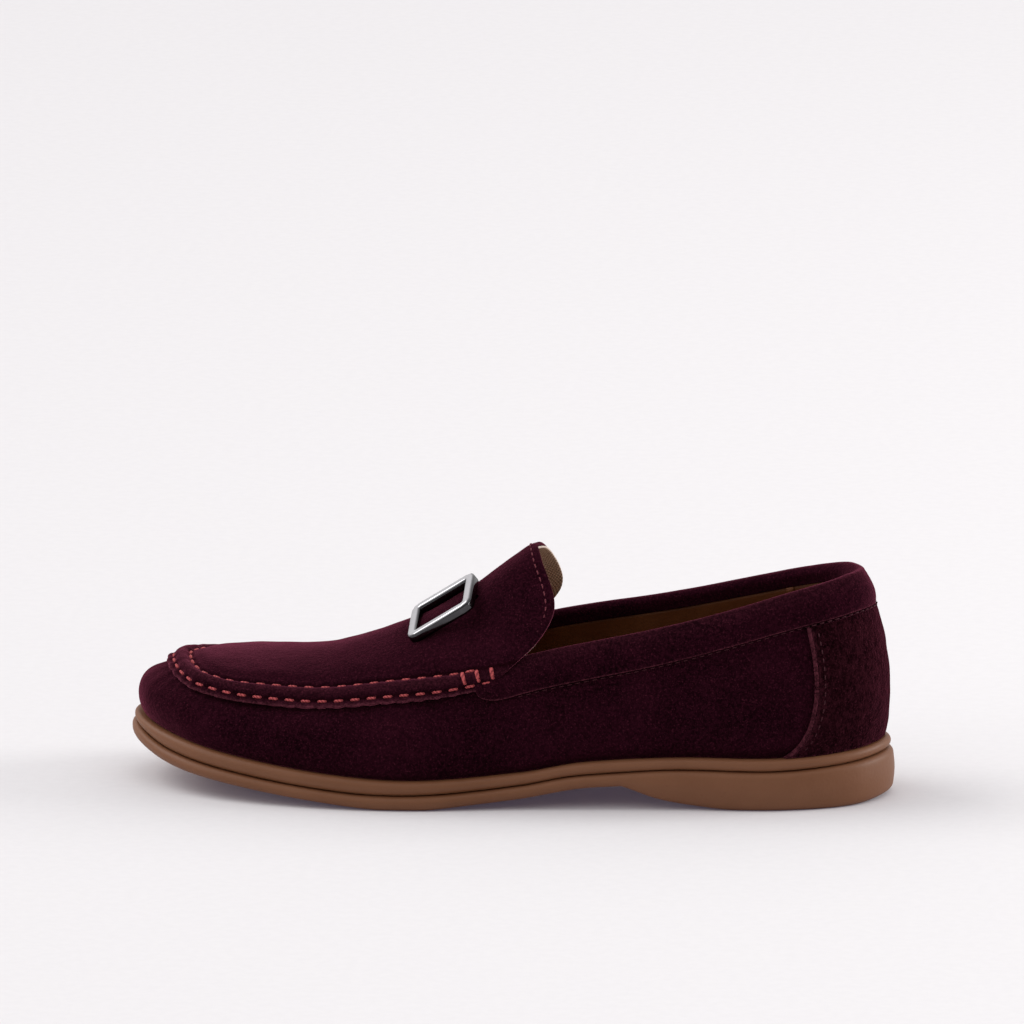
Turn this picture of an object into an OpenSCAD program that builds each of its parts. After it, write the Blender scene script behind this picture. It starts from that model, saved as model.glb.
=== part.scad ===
// Moccasin-toe suede loafer, left shoe, with a plain metal frame on the vamp.
// The toe points along -X, the outer side of the foot is -Y, and the sole rests on z = 0.

/* [Sole] */
// Length of the outsole
sole_length = 292; // [250:1:320]
// Width of the outsole across the ball of the foot
ball_width = 106; // [92:1:116]
// How far the outsole stands out past the foot of the upper
welt_overhang = 5; // [4:0.5:6]
// How far the midsole's side is set back from the outsole's
midsole_setback = 1; // [0.5:0.5:2]

/* [Upper] */
// Thickness of the suede
suede = 1.4; // [1.2:0.1:1.6]
// Thickness of the lining leather
lining = 1; // [0.8:0.1:1.1]
// Room left between two layers
gap = 0.2; // [0.15:0.05:0.25]
// Height of the suede band round the opening
band_height = 12; // [11:1:16]

/* [Stitching] */
// Diameter of the thick thread round the apron
thick_thread = 1.3; // [0.8:0.1:1.6]
// Distance from one thick stitch to the next
thick_pitch = 6.3; // [5:0.1:8]
// Diameter of the fine thread
fine_thread = 0.6; // [0.4:0.1:0.8]
// Distance from one fine stitch to the next
fine_pitch = 3.2; // [2.5:0.1:5]
// Distance of the outer stitch row from the apron's edge
outer_row = 2.8; // [2:0.2:4]
// Distance of the inner stitch row from the apron's edge
inner_row = 9.5; // [8:0.5:11]

/* [Ornament] */
// Length of the metal frame along the foot
frame_length = 30; // [24:1:36]
// Width of the metal frame across the foot
frame_width = 25; // [18:1:28]
// Width of the frame's bars
bar_width = 3.4; // [2.5:0.1:4.5]
// Thickness of the frame
bar_height = 3; // [2:0.1:4]
// How far the frame's corners are cut back
corner_cut = 3.5; // [2.5:0.5:6]

/* [Hidden] */

suede_red = [0.29, 0.08, 0.15];
gum_tan = [0.66, 0.45, 0.30];
lining_tan = [0.50, 0.32, 0.17];
thread_pink = [0.80, 0.42, 0.40];
steel = [0.62, 0.62, 0.64];

half_length = sole_length / 2;
half_width = ball_width / 2;

// The sole's outline from above, as shares of half the length and half the width:
// from the toe along the outer side to the heel, and back along the inner side.
outline_shares = [[-1, 0.17], [-0.959, -0.27], [-0.808, -0.67], [-0.548, -0.925], [-0.26, -1],
    [0.068, -0.87], [0.411, -0.785], [0.719, -0.755], [0.918, -0.52], [1, -0.075],
    [0.918, 0.37], [0.719, 0.61], [0.411, 0.56], [0.08, 0.58], [-0.25, 0.84],
    [-0.5, 1], [-0.76, 0.88], [-0.937, 0.57]];
outline_points = [for (p = outline_shares) [p[0] * half_length, p[1] * half_width]];
stations = len(outline_points);
heel_station = stations / 2;

// Heights along the sole, as [share of half the length, height].
tread_front = [[-1, 16], [-0.88, 10.2], [-0.71, 6.2], [-0.46, 1.9], [-0.32, 0], [-0.2, 0],
    [-0.09, 1.6], [0.05, 4], [0.2, 7.8], [0.31, 8.8]];
tread_heel = [[0.39, 4.4], [0.43, 3], [0.49, 1.6], [0.6, 0], [0.9, 0], [1, 1.5]];
groove_line = [[-1, 22], [-0.89, 15.8], [-0.67, 10.2], [-0.4, 6], [-0.26, 5.4], [-0.13, 6.2],
    [0.05, 9], [0.17, 12.2], [0.3, 13.8], [0.45, 15], [0.7, 14.8], [0.87, 16.2], [1, 18]];
welt_line = [[-1, 25.5], [-0.9, 22.2], [-0.74, 17.7], [-0.48, 12.9], [-0.23, 10.9], [0.05, 13.7],
    [0.2, 17.4], [0.45, 19.4], [0.7, 19.5], [0.9, 21], [1, 22.5]];

// The side wall at each station of the outline: height of its top edge, how far that edge leans
// in from its foot, how far the wall swells out, and how sharply its shoulder turns.
wall_top = [45, 44, 40.5, 38, 40.5, 56, 67, 79.5, 85, 85.5, 84.5, 78, 68, 59, 43, 38.5, 40, 43.2];
wall_lean = [20, 18, 14.5, 12, 9.5, 6.5, 5, 5.3, 6.3, 7.2, 6.3, 2.3, -3, -3, 4, 12, 14, 18];
wall_swell = [2.5, 2.5, 2.5, 2.5, 2.5, 2.5, 2.5, 2.5, 2.5, 2.7, 2.5, 2.5, 4, 5, 3.5, 2.5, 2.5, 2.5];
wall_turn = [6.5, 5.5, 4.5, 4, 3, 2, 2, 2, 2.5, 2.5, 2.5, 2, 2, 2, 3, 4, 4.5, 5.5];

// The apron: height of its edge and of its ridge line, as [x, height].
apron_edge = [[-134, 43.2], [-124, 39.6], [-116, 37.4], [-97, 35.4], [-69, 35.4], [-39, 38.7],
    [-21, 41.7], [2, 47]];
apron_spine = [[-108, 47.2], [-92, 48.2], [-72, 50], [-62, 52.5], [-52, 56], [-40, 61],
    [-26, 68.5], [-12, 77.5], [-4, 84], [2, 88.5], [7, 92], [12, 93.6]];
// How far the tongue reaches past the apron's ends, as [degrees from the ridge line, reach].
outer_reach = [[0, 12], [25, 15.5], [48, 21.3], [58, 21.3], [70, 16], [83, 5], [90, 0]];
inner_reach = [[0, 12], [25, 15], [48, 17.8], [58, 16.3], [70, 10], [83, 2.5], [90, 0]];
instep_crown = 0.3;     // how much the section peaks towards the ridge line at the instep
fan_station = 2.2;      // where the toe's fan of ribs meets the straight ribs
end_station = 4.75;     // where the apron ends on both sides
collar_station = 4.62;  // where the collar band starts under the apron
corner_run = 0.26;      // stations over which the band's lower front corner is rounded

// ---------- curves ----------

function mix(a, b, t) = a + (b - a) * t;

// Value of a smooth curve y(x) through points [x, y].
function curve_at(points, x) =
    let (n = len(points), c = min(max(x, points[0][0]), points[n - 1][0]),
        k = max([0, for (i = [0:n - 2]) if (points[i][0] <= c) i]),
        a = points[k], b = points[k + 1],
        before = points[max(k - 1, 0)], after = points[min(k + 2, n - 1)],
        w = b[0] - a[0], t = (c - a[0]) / w,
        slope_a = (b[1] - before[1]) / (b[0] - before[0]) * w,
        slope_b = (after[1] - a[1]) / (after[0] - a[0]) * w)
    a[1] * (1 + 2 * t) * (1 - t) * (1 - t) + slope_a * t * (1 - t) * (1 - t)
        + b[1] * t * t * (3 - 2 * t) - slope_b * t * t * (1 - t);

// Value of a smooth closed curve through a list, at station u.
function loop_at(list, u) =
    let (n = len(list), v = ((u % n) + n) % n, k = floor(v), t = v - k,
        a = list[(k + n - 1) % n], b = list[k % n], c = list[(k + 1) % n], d = list[(k + 2) % n])
    b + ((c - a) * t + (2 * a - 5 * b + 4 * c - d) * t * t + (3 * b - a - 3 * c + d) * t * t * t) / 2;

function unit(v) = v / norm(v);

// Point of the sole's outline at station u, moved inwards.
function outline(u, inset) =
    let (step = 0.02, run = unit(loop_at(outline_points, u + step) - loop_at(outline_points, u - step)))
    loop_at(outline_points, u) - inset * [run[1], -run[0]];

function welt_z(x) = curve_at(welt_line, x / half_length);

// ---------- surfaces of the upper ----------

// Outer face of the side wall at station u, from its foot (t = 0) to its top edge (t = 1).
function wall(u, t) =
    let (foot = outline(u, welt_overhang), base = welt_z(foot[0]) + gap,
        lean = loop_at(wall_lean, u) * pow(t, loop_at(wall_turn, u)),
        swell = loop_at(wall_swell, u) * sin(180 * pow(t, 0.7)),
        p = outline(u, welt_overhang + lean - swell))
    [p[0], p[1], mix(base, loop_at(wall_top, u), t)];

function wall_normal(u, t) =
    let (c = min(max(t, 0.02), 0.98))
    unit(cross(wall(u + 0.05, c) - wall(u - 0.05, c), wall(u, c + 0.02) - wall(u, c - 0.02)));

// The same, moved out along the surface's normal.
function wall_at(u, t, out) = wall(u, t) + out * wall_normal(u, t);

// Share of the wall's height at a height z, and at a depth below its top edge.
function share_at(u, z) =
    let (base = wall(u, 0)[2]) (z - base) / (loop_at(wall_top, u) - base);
function share_below(u, depth) = 1 - depth / (loop_at(wall_top, u) - wall(u, 0)[2]);

// The apron's edge, which lies on the side wall.
function lip(u, out) =
    let (t = share_at(u, curve_at(apron_edge, outline(u, welt_overhang + 8)[0]))) wall_at(u, t, out);

// How much the section peaks at station u: not at the toe, and fully at the instep.
function crown_at(u) =
    let (s = min(max((abs(u) - fan_station) / 1.2, 0), 1)) instep_crown * s * s * (3 - 2 * s);

// Point of the apron: u is the station of its edge, phi the angle from the ridge line (0) to the
// edge (90), and out the distance above the face of the side wall.
function apron_at(u, phi, out) =
    let (w = max(abs(u), fan_station), edge = lip(u, out),
        middle = (lip(w, 0) + lip(-w, 0)) / 2,
        tail = pow((w - fan_station) / (end_station - fan_station), 5),
        spine_x = middle[0] + tail * outer_reach[0][1],
        spine = curve_at(apron_spine, spine_x) + out,
        across = sin(phi) * (1 - crown_at(u) * cos(phi)),
        reach = curve_at(u < 0 ? inner_reach : outer_reach, phi))
    [mix(middle[0], edge[0], across) + tail * reach, mix(middle[1], edge[1], across),
        mix(edge[2], spine, cos(phi))];

// Angle at a distance along the apron's surface from its edge.
function angle_in(u, distance) =
    let (way = apron_at(u, 0, 0) - apron_at(u, 90, 0), reach = way[0] * way[0] + way[1] * way[1],
        rise = way[2] * way[2] + crown_at(u) * crown_at(u) * reach)
    90 - 180 / PI * sqrt(2 * (sqrt(rise * rise + reach * distance * distance) - rise) / reach);

// ---------- solids ----------

// A thin panel between two grids of points, each grid a list of equally long rows.
module panel(outer, inner, closed = false) {
    rows = len(outer);
    cols = len(outer[0]);
    last = closed ? rows : rows - 1;
    size = rows * cols;
    points = concat([for (r = outer) each r], [for (r = inner) each r]);
    faces = concat(
        [for (i = [0:last - 1], j = [0:cols - 2]) let (a = i * cols + j, b = (i + 1) % rows * cols + j)
            each [[a, a + 1, b + 1], [a, b + 1, b],
                [size + a, size + b + 1, size + a + 1], [size + a, size + b, size + b + 1]]],
        [for (i = [0:last - 1]) let (a = i * cols, b = (i + 1) % rows * cols, e = cols - 1)
            each [[a, b, size + b], [a, size + b, size + a],
                [a + e, size + b + e, b + e], [a + e, size + a + e, size + b + e]]],
        closed ? [] : [for (j = [0:cols - 2]) let (e = (rows - 1) * cols + j)
            each [[j, size + j, size + j + 1], [j, size + j + 1, j + 1],
                [e, size + e + 1, size + e], [e, e + 1, size + e + 1]]]);
    polyhedron(points, faces, convexity = 10);
}

// A panel of the side wall over stations us and shares ts, or a list of shares for each station.
module wall_panel(us, ts, out, thickness, closed = false) {
    panel([for (u = us) [for (t = ts) wall_at(u, t, out)]],
        [for (u = us) [for (t = ts) wall_at(u, t, out - thickness)]], closed);
}

// A panel made of ribs that meet on the ridge line, ribs being the stations where they start on
// the outer side. Each rib runs up the side wall at shares ts of the height of the apron's edge,
// and then over the apron at the given angles.
module rib_panel(ribs, ts, angles, out, thickness) {
    half = len(ribs) - 1;
    straight = [for (k = [0:half]) if (ribs[k] > fan_station) k];
    stations_all = concat([for (k = [half:-1:0]) -ribs[k]], [for (k = [1:half]) ribs[k]]);
    rows = len(stations_all);
    cols = len(ts) + len(angles);
    spine_base = rows * cols;
    size = spine_base + len(straight) + 1;
    function rib(u, o) = concat([for (t = ts) wall_at(u, t * share_at(u, lip(u, 0)[2]), o)],
        [for (a = angles) apron_at(u, a, o)]);
    function layer(o) = concat([for (u = stations_all) each rib(u, o)],
        [apron_at(0, 0, o)], [for (k = straight) apron_at(ribs[k], 0, o)]);
    function id(i, j) = j < cols ? i * cols + j
        : spine_base + max(0, abs(i - half) - (half - len(straight)));
    whole = [for (i = [0:rows - 2], j = [0:cols - 1])
        let (a = id(i, j), b = id(i + 1, j), c = id(i + 1, j + 1), d = id(i, j + 1))
        each [[a, d, c], [a, c, b]]];
    sheet = [for (f = whole) if (f[0] != f[1] && f[1] != f[2] && f[0] != f[2]) f];
    end = rows - 1;
    rim = concat([for (i = [0:rows - 2]) [id(i, 0), id(i + 1, 0)]],
        [for (j = [0:cols - 1]) [id(end, j), id(end, j + 1)]],
        [for (j = [cols:-1:1]) [id(0, j), id(0, j - 1)]]);
    polyhedron(concat(layer(out), layer(out - thickness)),
        concat(sheet, [for (f = sheet) [size + f[0], size + f[2], size + f[1]]],
            [for (e = rim) each [[e[0], e[1], size + e[1]], [e[0], size + e[1], size + e[0]]]]),
        convexity = 10);
}

// A round rod between two points.
module rod(a, b, d, sides = 24) {
    run = b - a;
    translate(a) rotate([0, acos(run[2] / norm(run)), atan2(run[1], run[0])])
        cylinder(d = d, h = norm(run), $fn = sides);
}

// A tube of a few sides along a line of points.
module tube(points, d, sides = 6) {
    n = len(points);
    rings = [for (i = [0:n - 1])
        let (run = unit(points[min(i + 1, n - 1)] - points[max(i - 1, 0)]),
            side = unit(cross(run, [0.01, 0.02, 1])), up = cross(side, run))
        [for (k = [0:sides - 1]) let (a = 360 * k / sides)
            points[i] + (side * cos(a) + up * sin(a)) * d / 2]];
    polyhedron([for (r = rings) each r],
        concat([for (i = [0:n - 2], k = [0:sides - 1]) let (m = (k + 1) % sides)
            each [[i * sides + k, (i + 1) * sides + m, i * sides + m],
                [i * sides + k, (i + 1) * sides + k, (i + 1) * sides + m]]],
            [for (k = [1:sides - 2]) [0, k, k + 1]],
            [for (k = [1:sides - 2]) let (e = (n - 1) * sides) [e, e + k + 1, e + k]]));
}

// Shares [start, end] of the stitches along a line of points at equal shares. All stitches are
// equally long, and about a pitch apart.
function stitch_shares(points, pitch) =
    let (n = len(points) - 1,
        table = [for (i = 0, s = 0; i <= n; s = i < n ? s + norm(points[i + 1] - points[i]) : s, i = i + 1)
            [s, i / n]],
        count = round(table[n][0] / pitch), size = table[n][0] / count)
    [for (i = [0:count - 1]) [lookup((i + 0.21) * size, table), lookup((i + 0.79) * size, table)]];

// A row of stitches, each from one point to the next in a list of pairs.
module stitches(pairs, d) {
    for (p = pairs) rod(p[0], p[1], d);
}

// Points [x, z] of a height curve between two shares of half the length, raised by lift.
function side_line(line, from, to, steps, lift = 0) =
    [for (i = [0:steps]) let (s = mix(from, to, i / steps)) [s * half_length, curve_at(line, s) + lift]];

function flip(list) = [for (i = [len(list) - 1:-1:0]) list[i]];

// A layer of the sole: its outline set in, cut between a lower and an upper line seen from the side.
module sole_layer(inset, lower, upper, around = 72) {
    intersection() {
        linear_extrude(120) polygon([for (i = [0:around - 1]) outline(stations * i / around, inset)]);
        rotate([90, 0, 0]) translate([0, 0, -ball_width])
            linear_extrude(2 * ball_width) polygon(concat(lower, flip(upper)));
    }
}

// Stretch of a layer that follows the welt line at a height above it.
module bed_layer(inset, from, to, low, high, around = 48) {
    sole_layer(inset, side_line(welt_line, from, to, 16, low), side_line(welt_line, from, to, 16, high),
        around);
}

// ---------- sole ----------

module outsole() {
    color(gum_tan) sole_layer(0,
        concat(side_line(tread_front, -1.02, 0.31, 22), side_line(tread_heel, 0.39, 1.02, 10)),
        side_line(groove_line, -1.02, 1.02, 32), 84);
}

module midsole() {
    color(gum_tan) sole_layer(midsole_setback, side_line(groove_line, -1.02, 1.02, 32, gap),
        side_line(welt_line, -1.02, 1.02, 32), 84);
}

margin = 11;          // how far the upper's lasting margin turns in under the board
board_low = 1.8;      // heights above the midsole of the layers that the foot stands on
board_high = 3.8;
pad_high = 7;
sock_thickness = 1;

module insole_board() {
    color("sienna") bed_layer(welt_overhang + 5, -0.93, 0.95, board_low, board_high);
}

module shank() {
    color(steel) intersection() {
        bed_layer(welt_overhang + margin, -0.1, 0.75, gap, 1.4);
        translate([0.33 * half_length, -5, 30]) cube([0.8 * half_length, 14, 60], center = true);
    }
}

module filler() {
    color("peru") bed_layer(welt_overhang + margin + 2, -0.8, -0.14, gap, 1.4);
}

module heel_pad() {
    color("khaki") bed_layer(welt_overhang + 6, 0.42, 0.93, board_high + gap, pad_high - gap);
}

module sock() {
    low = [for (i = [0:24]) let (s = mix(-0.92, 0.94, i / 24), step = min(max((s - 0.3) / 0.1, 0), 1))
        [s * half_length, curve_at(welt_line, s) + mix(board_high + gap, pad_high, step)]];
    color(lining_tan) sole_layer(welt_overhang + 5.5, low, [for (p = low) p + [0, sock_thickness]], 48);
}

module heel_nails() {
    for (a = [-60:30:60])
        color(steel) translate([0.68 * half_length + 20 * cos(a), -4 + 20 * sin(a), 8])
            cylinder(d = 1.8, h = 12.4, $fn = 24);
}

// ---------- upper ----------

function stretch(from, to, steps) = [for (i = [0:steps]) mix(from, to, i / steps)];

module side_wall() {
    around = 90;
    shares = [0, 0.12, 0.28, 0.45, 0.62, 0.77, 0.89, 1];
    // The first row is the lasting margin, turned in under the insole board.
    function turned(u, z) = let (p = outline(u, welt_overhang + margin - 1)) [p[0], p[1], welt_z(p[0]) + z];
    outer = [for (i = [0:around - 1]) let (u = stations * i / around)
        concat([turned(u, gap)], [for (t = shares) wall(u, t)])];
    inner = [for (i = [0:around - 1]) let (u = stations * i / around)
        concat([turned(u, gap + suede)], [for (t = shares) wall_at(u, max(t, 0.06), -suede)])];
    color(suede_red) panel(outer, inner, closed = true);
}

apron_ribs = concat(stretch(0, fan_station, 8), [for (i = [1:16]) mix(fan_station, end_station, i / 16)]);
apron_angles = [90, 82, 72, 60, 48, 35, 20];

module apron() {
    color(suede_red) rib_panel(apron_ribs, [], apron_angles, gap + suede, suede);
}

cord_d = 1.8;

module ridge_cord() {
    path = [for (u = stretch(-4, 4, 44)) apron_at(u, angle_in(u, inner_row - 1.5), -cord_d / 2)];
    color("linen") tube(path, cord_d);
}

tongue_start = 4.05;

module tongue_lining() {
    angles = [-74, -60, -45, -30, -15, 0, 15, 30, 45, 60, 74];
    rows = stretch(tongue_start, end_station - 0.02, 8);
    function face(out) = [for (w = rows) [for (a = angles) apron_at(a < 0 ? -w : w, abs(a), out)]];
    color("tan") panel(face(-gap), face(-gap - 0.8));
}

module vamp_lining() {
    ribs = concat(stretch(0, fan_station, 6), [for (i = [1:9]) mix(fan_station, tongue_start - 0.05, i / 9)]);
    color("wheat") rib_panel(ribs, [0.05, 0.35, 0.7], [88, 70, 50, 26], -suede - 1.2, 0.8);
}

lining_out = -suede - 1.8;
lining_depth = 4.4;

module quarter_lining() {
    us = stretch(tongue_start, stations - tongue_start, 48);
    shares = [0.1, 0.35, 0.6, 0.8, 1];
    function face(out) = [for (u = us) [for (s = shares) wall_at(u, s * share_below(u, lining_depth), out)]];
    color(lining_tan) panel(face(lining_out), face(lining_out - lining));
}

seam_stations = [7.05, 10.95];

module lining_seams() {
    for (u = seam_stations)
        color(lining_tan) wall_panel([u - 0.04, u + 0.04], stretch(0.18, share_below(u, lining_depth), 8),
            lining_out - lining - 0.1, 0.6);
}

module toe_puff() {
    color("ivory") wall_panel(stretch(-2.1, 2.1, 24), [0.12, 0.35, 0.6, 0.8, 0.94], -suede - gap, 0.8);
}

module heel_counter() {
    color("ivory") wall_panel(stretch(7.1, 10.9, 22), [0.06, 0.2, 0.35, 0.5, 0.62], -suede - gap, 1.4);
}

// Station of the counter patch's front edge on the outer side, at a share of its height.
function patch_station(s) = 7.08 + 0.39 * sin(126 * pow(s, 0.6));

module counter_patch() {
    function face(out) = [for (k = stretch(-1, 1, 24)) [for (s = [0, 0.2, 0.4, 0.6, 0.8, 1])
        let (u = heel_station + k * (heel_station - patch_station(s)))
            wall_at(u, mix(0.01, share_below(u, band_height + 1), s), out)]];
    color(suede_red) panel(face(gap + 1.2), face(gap));
}

module counter_ridge() {
    for (side = [-1, 1])
        color(suede_red) tube([for (s = stretch(0.02, 0.98, 12))
            let (u = heel_station + side * (heel_station - patch_station(s) + 0.06))
            wall_at(u, mix(0.01, share_below(u, band_height + 1.5), s), 1)], 1.5);
}

// A strip round the opening: its section is two paths of [distance out, depth below the top edge].
// Its lower corners are rounded off at both ends.
module collar_strip(outer, inner, steps) {
    ends = [for (k = [0:5]) collar_station + corner_run * (1 - cos(18 * k))];
    us = concat(ends, stretch(ends[5] + 0.1, stations - ends[5] - 0.1, steps),
        flip([for (e = ends) stations - e]));
    function depth_at(u, depth) =
        let (way = min(min(u, stations - u) - collar_station, corner_run) / corner_run)
        depth < 5 ? depth : mix(5, depth, sqrt(max(0, way * (2 - way))));
    function face(path) = [for (u = us) [for (p = path)
        let (point = wall_at(u, min(share_below(u, depth_at(u, p[1])), 1), p[0]))
            point + [0, 0, max(-p[1], 0)]]];
    panel(face(outer), face(inner));
}

module collar_band() {
    color(suede_red) collar_strip(
        [[1.2, band_height], [1.5, 8], [1.2, 0], [-0.6, -1.5], [-3.1, -1.2], [-4.3, 0.8], [-4.5, 4.2]],
        [[0.2, band_height], [0.2, 8], [0.2, -0.2], [-1, -0.4], [-2.5, -0.2], [-3, 1.2], [-3.3, 4.2]], 48);
}

module collar_foam() {
    color("khaki") collar_strip([[-1.6, 11], [-1.6, 6], [-1.6, 0.8]],
        [[-2.9, 11], [-2.9, 6], [-2.7, 1.4]], 44);
}

// ---------- ornament ----------

ornament_x = -24;         // place of the frame's middle and its slopes along and across the foot
ornament_y = -12;
ornament_z = 69.4;
ornament_pitch = 32;
ornament_roll = 22;
ornament_turn = -10;

module at_ornament() {
    translate([ornament_x, ornament_y, ornament_z]) rotate([ornament_roll, -ornament_pitch, 0])
        rotate([0, 0, ornament_turn]) children();
}

// A rectangle with its corners cut off.
module cut_rectangle(length, width, cut) {
    x = length / 2;
    y = width / 2;
    polygon([[x - cut, y], [x, y - cut], [x, cut - y], [x - cut, -y],
        [cut - x, -y], [-x, cut - y], [-x, y - cut], [cut - x, y]]);
}

module ornament() {
    color(steel) at_ornament() difference() {
        linear_extrude(bar_height) cut_rectangle(frame_length, frame_width, corner_cut);
        translate([0, 0, -1]) linear_extrude(bar_height + 2)
            cut_rectangle(frame_length - 2 * bar_width, frame_width - 2 * bar_width,
                corner_cut - bar_width * 0.59);
    }
}

post_d = 1.6;
post_x = frame_length / 2 - bar_width / 2;
post_length = 5.5;

module ornament_posts() {
    for (side = [-1, 1])
        color(steel) at_ornament() translate([side * post_x, 0, -post_length])
            cylinder(d = post_d, h = post_length, $fn = 24);
}

module ornament_washers() {
    for (side = [-1, 1])
        color(steel) at_ornament() translate([side * post_x, 0, -post_length + 0.4]) difference() {
            cylinder(d = 6, h = 0.6, $fn = 32);
            translate([0, 0, -1]) cylinder(d = post_d, h = 3, $fn = 24);
        }
}

// ---------- stitching ----------

thread_out = gap + suede;

// Stitches along the apron at a distance from its edge.
module apron_row(distance, reach) {
    function place(share) = let (u = mix(-reach, reach, share))
        apron_at(u, angle_in(u, distance), thread_out + 0.3);
    stitches([for (e = stitch_shares([for (s = stretch(0, 1, 80)) place(s)], thick_pitch))
        [place(e[0]), place(e[1])]], thick_thread);
}

module outer_stitches() {
    color(thread_pink) apron_row(outer_row, end_station - 0.08);
}

module inner_stitches() {
    color(thread_pink) apron_row(inner_row, end_station - 0.25);
}

module cross_stitches() {
    for (side = [-1, 1], k = [0:2])
        color(thread_pink) let (u = side * (4.47 + 0.11 * k), v = u - side * 0.07)
            rod(apron_at(v, angle_in(v, inner_row), thread_out + 0.5),
                apron_at(u, angle_in(u, outer_row + 0.8), thread_out + 0.5), thick_thread);
}

module tongue_stitches() {
    function place(share) = let (a = mix(-72, 72, share))
        apron_at((a < 0 ? -1 : 1) * (end_station - 0.035), abs(a), thread_out + 0.1);
    color(thread_pink) stitches([for (e = stitch_shares([for (s = stretch(0, 1, 40)) place(s)], fine_pitch))
        [place(e[0]), place(e[1])]], fine_thread);
}

module collar_stitches() {
    function place(share) =
        let (u = mix(collar_station + 0.3, stations - collar_station - 0.3, share),
            over_patch = u > patch_station(1) && u < stations - patch_station(1) ? 1.4 : 0)
        wall_at(u, share_below(u, band_height + 0.5), fine_thread / 2 + over_patch);
    color(thread_pink) stitches([for (e = stitch_shares([for (s = stretch(0, 1, 60)) place(s)], fine_pitch))
        [place(e[0]), place(e[1])]], fine_thread);
}

module counter_stitches() {
    function place(side, share) =
        let (s = mix(0.04, 0.96, share), u = heel_station + side * (heel_station - patch_station(s) - 0.05),
            t = mix(0.01, share_below(u, band_height + 1), s)) wall_at(u, t, gap + 1.3);
    for (side = [-1, 1])
        color(thread_pink)
            stitches([for (e = stitch_shares([for (s = stretch(0, 1, 20)) place(side, s)], fine_pitch))
                [place(side, e[0]), place(side, e[1])]], fine_thread);
}

outsole();
midsole();
insole_board();
shank();
filler();
heel_pad();
sock();
heel_nails();
side_wall();
apron();
ridge_cord();
tongue_lining();
vamp_lining();
quarter_lining();
lining_seams();
toe_puff();
heel_counter();
counter_patch();
counter_ridge();
collar_band();
collar_foam();
ornament();
ornament_posts();
ornament_washers();
outer_stitches();
inner_stitches();
cross_stitches();
tongue_stitches();
collar_stitches();
counter_stitches();
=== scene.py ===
# %% [markdown]
# # A suede moccasin loafer
# The script builds the looks of one left shoe around a finished frame of plain parts.
# It starts by loading that frame, because every length and place below is taken from it.

# %% Load the frame
import math

import bmesh
import bpy
import numpy as np
from mathutils import Matrix, Vector, noise


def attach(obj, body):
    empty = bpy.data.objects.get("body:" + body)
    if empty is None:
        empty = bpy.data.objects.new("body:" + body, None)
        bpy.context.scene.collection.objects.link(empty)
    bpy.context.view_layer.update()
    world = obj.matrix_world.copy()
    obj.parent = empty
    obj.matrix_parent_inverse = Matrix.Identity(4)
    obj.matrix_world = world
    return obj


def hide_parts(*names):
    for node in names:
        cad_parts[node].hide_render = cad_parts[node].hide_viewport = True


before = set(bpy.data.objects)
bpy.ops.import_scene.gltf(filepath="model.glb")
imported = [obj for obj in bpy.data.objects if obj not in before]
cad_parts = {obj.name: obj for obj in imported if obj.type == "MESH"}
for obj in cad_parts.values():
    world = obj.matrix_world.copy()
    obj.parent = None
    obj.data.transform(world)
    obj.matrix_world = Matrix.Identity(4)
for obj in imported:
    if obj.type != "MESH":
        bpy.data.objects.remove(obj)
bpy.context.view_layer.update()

# %% [markdown]
# A shoe looks its best from a few metres away through a long lens, so that the toe does not
# seem larger than the heel. The camera stands on the outer side of the foot, a little towards the
# heel, and looks down on the sole by about twelve degrees. It comes first, because everything
# after it is judged through it.

# %% Camera
MM = 0.001
view_turn = math.radians(5)
view_tilt = math.radians(12.5)
view_distance = 6.0
view_width = 0.3894
aim = Vector((0, 0, 0.1054))

camera_data = bpy.data.cameras.new("camera")
camera_data.sensor_width = 36
camera_data.lens = camera_data.sensor_width * view_distance / view_width
camera_data.clip_end = 50
camera = bpy.data.objects.new("camera", camera_data)
away = Vector((math.sin(view_turn) * math.cos(view_tilt), -math.cos(view_turn) * math.cos(view_tilt),
               math.sin(view_tilt)))
camera.location = aim + away * view_distance
camera.rotation_euler = (-away).to_track_quat("-Z", "Y").to_euler()
bpy.context.scene.collection.objects.link(camera)
bpy.context.scene.camera = camera
bpy.context.scene.view_settings.view_transform = "Standard"
print("lens in mm:", round(camera_data.lens))

# %% [markdown]
# Shader maths reads best as plain expressions. `Wire` wraps one output socket of a node, and its
# operators add Math nodes, so `1 - mask * 0.5` builds two nodes. `Graph` is a tree of nodes: its
# `add` method makes any other node from a type, its settings and what its sockets receive.
# `Finish` is the graph of one material.

# %% Wires, graphs and finishes
class Wire:
    def __init__(self, graph, socket):
        self.graph = graph
        self.socket = socket

    def maths(self, operation, *values, clamp=False):
        inputs = {i: v for i, v in enumerate(values)}
        return self.graph.add("ShaderNodeMath", {"operation": operation, "use_clamp": clamp}, inputs)

    def __add__(self, other):
        return self.maths("ADD", self, other)

    def __sub__(self, other):
        return self.maths("SUBTRACT", self, other)

    def __rsub__(self, other):
        return self.maths("SUBTRACT", other, self)

    def __mul__(self, other):
        return self.maths("MULTIPLY", self, other)

    __radd__ = __add__
    __rmul__ = __mul__

    def sine(self):
        return self.maths("SINE", self)

    def held(self):
        return self.maths("ADD", self, 0.0, clamp=True)

    def ramp(self, low, high):
        return self.graph.add("ShaderNodeMapRange", {"interpolation_type": "SMOOTHSTEP"},
                              {"Value": self, "From Min": low, "From Max": high})


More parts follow.
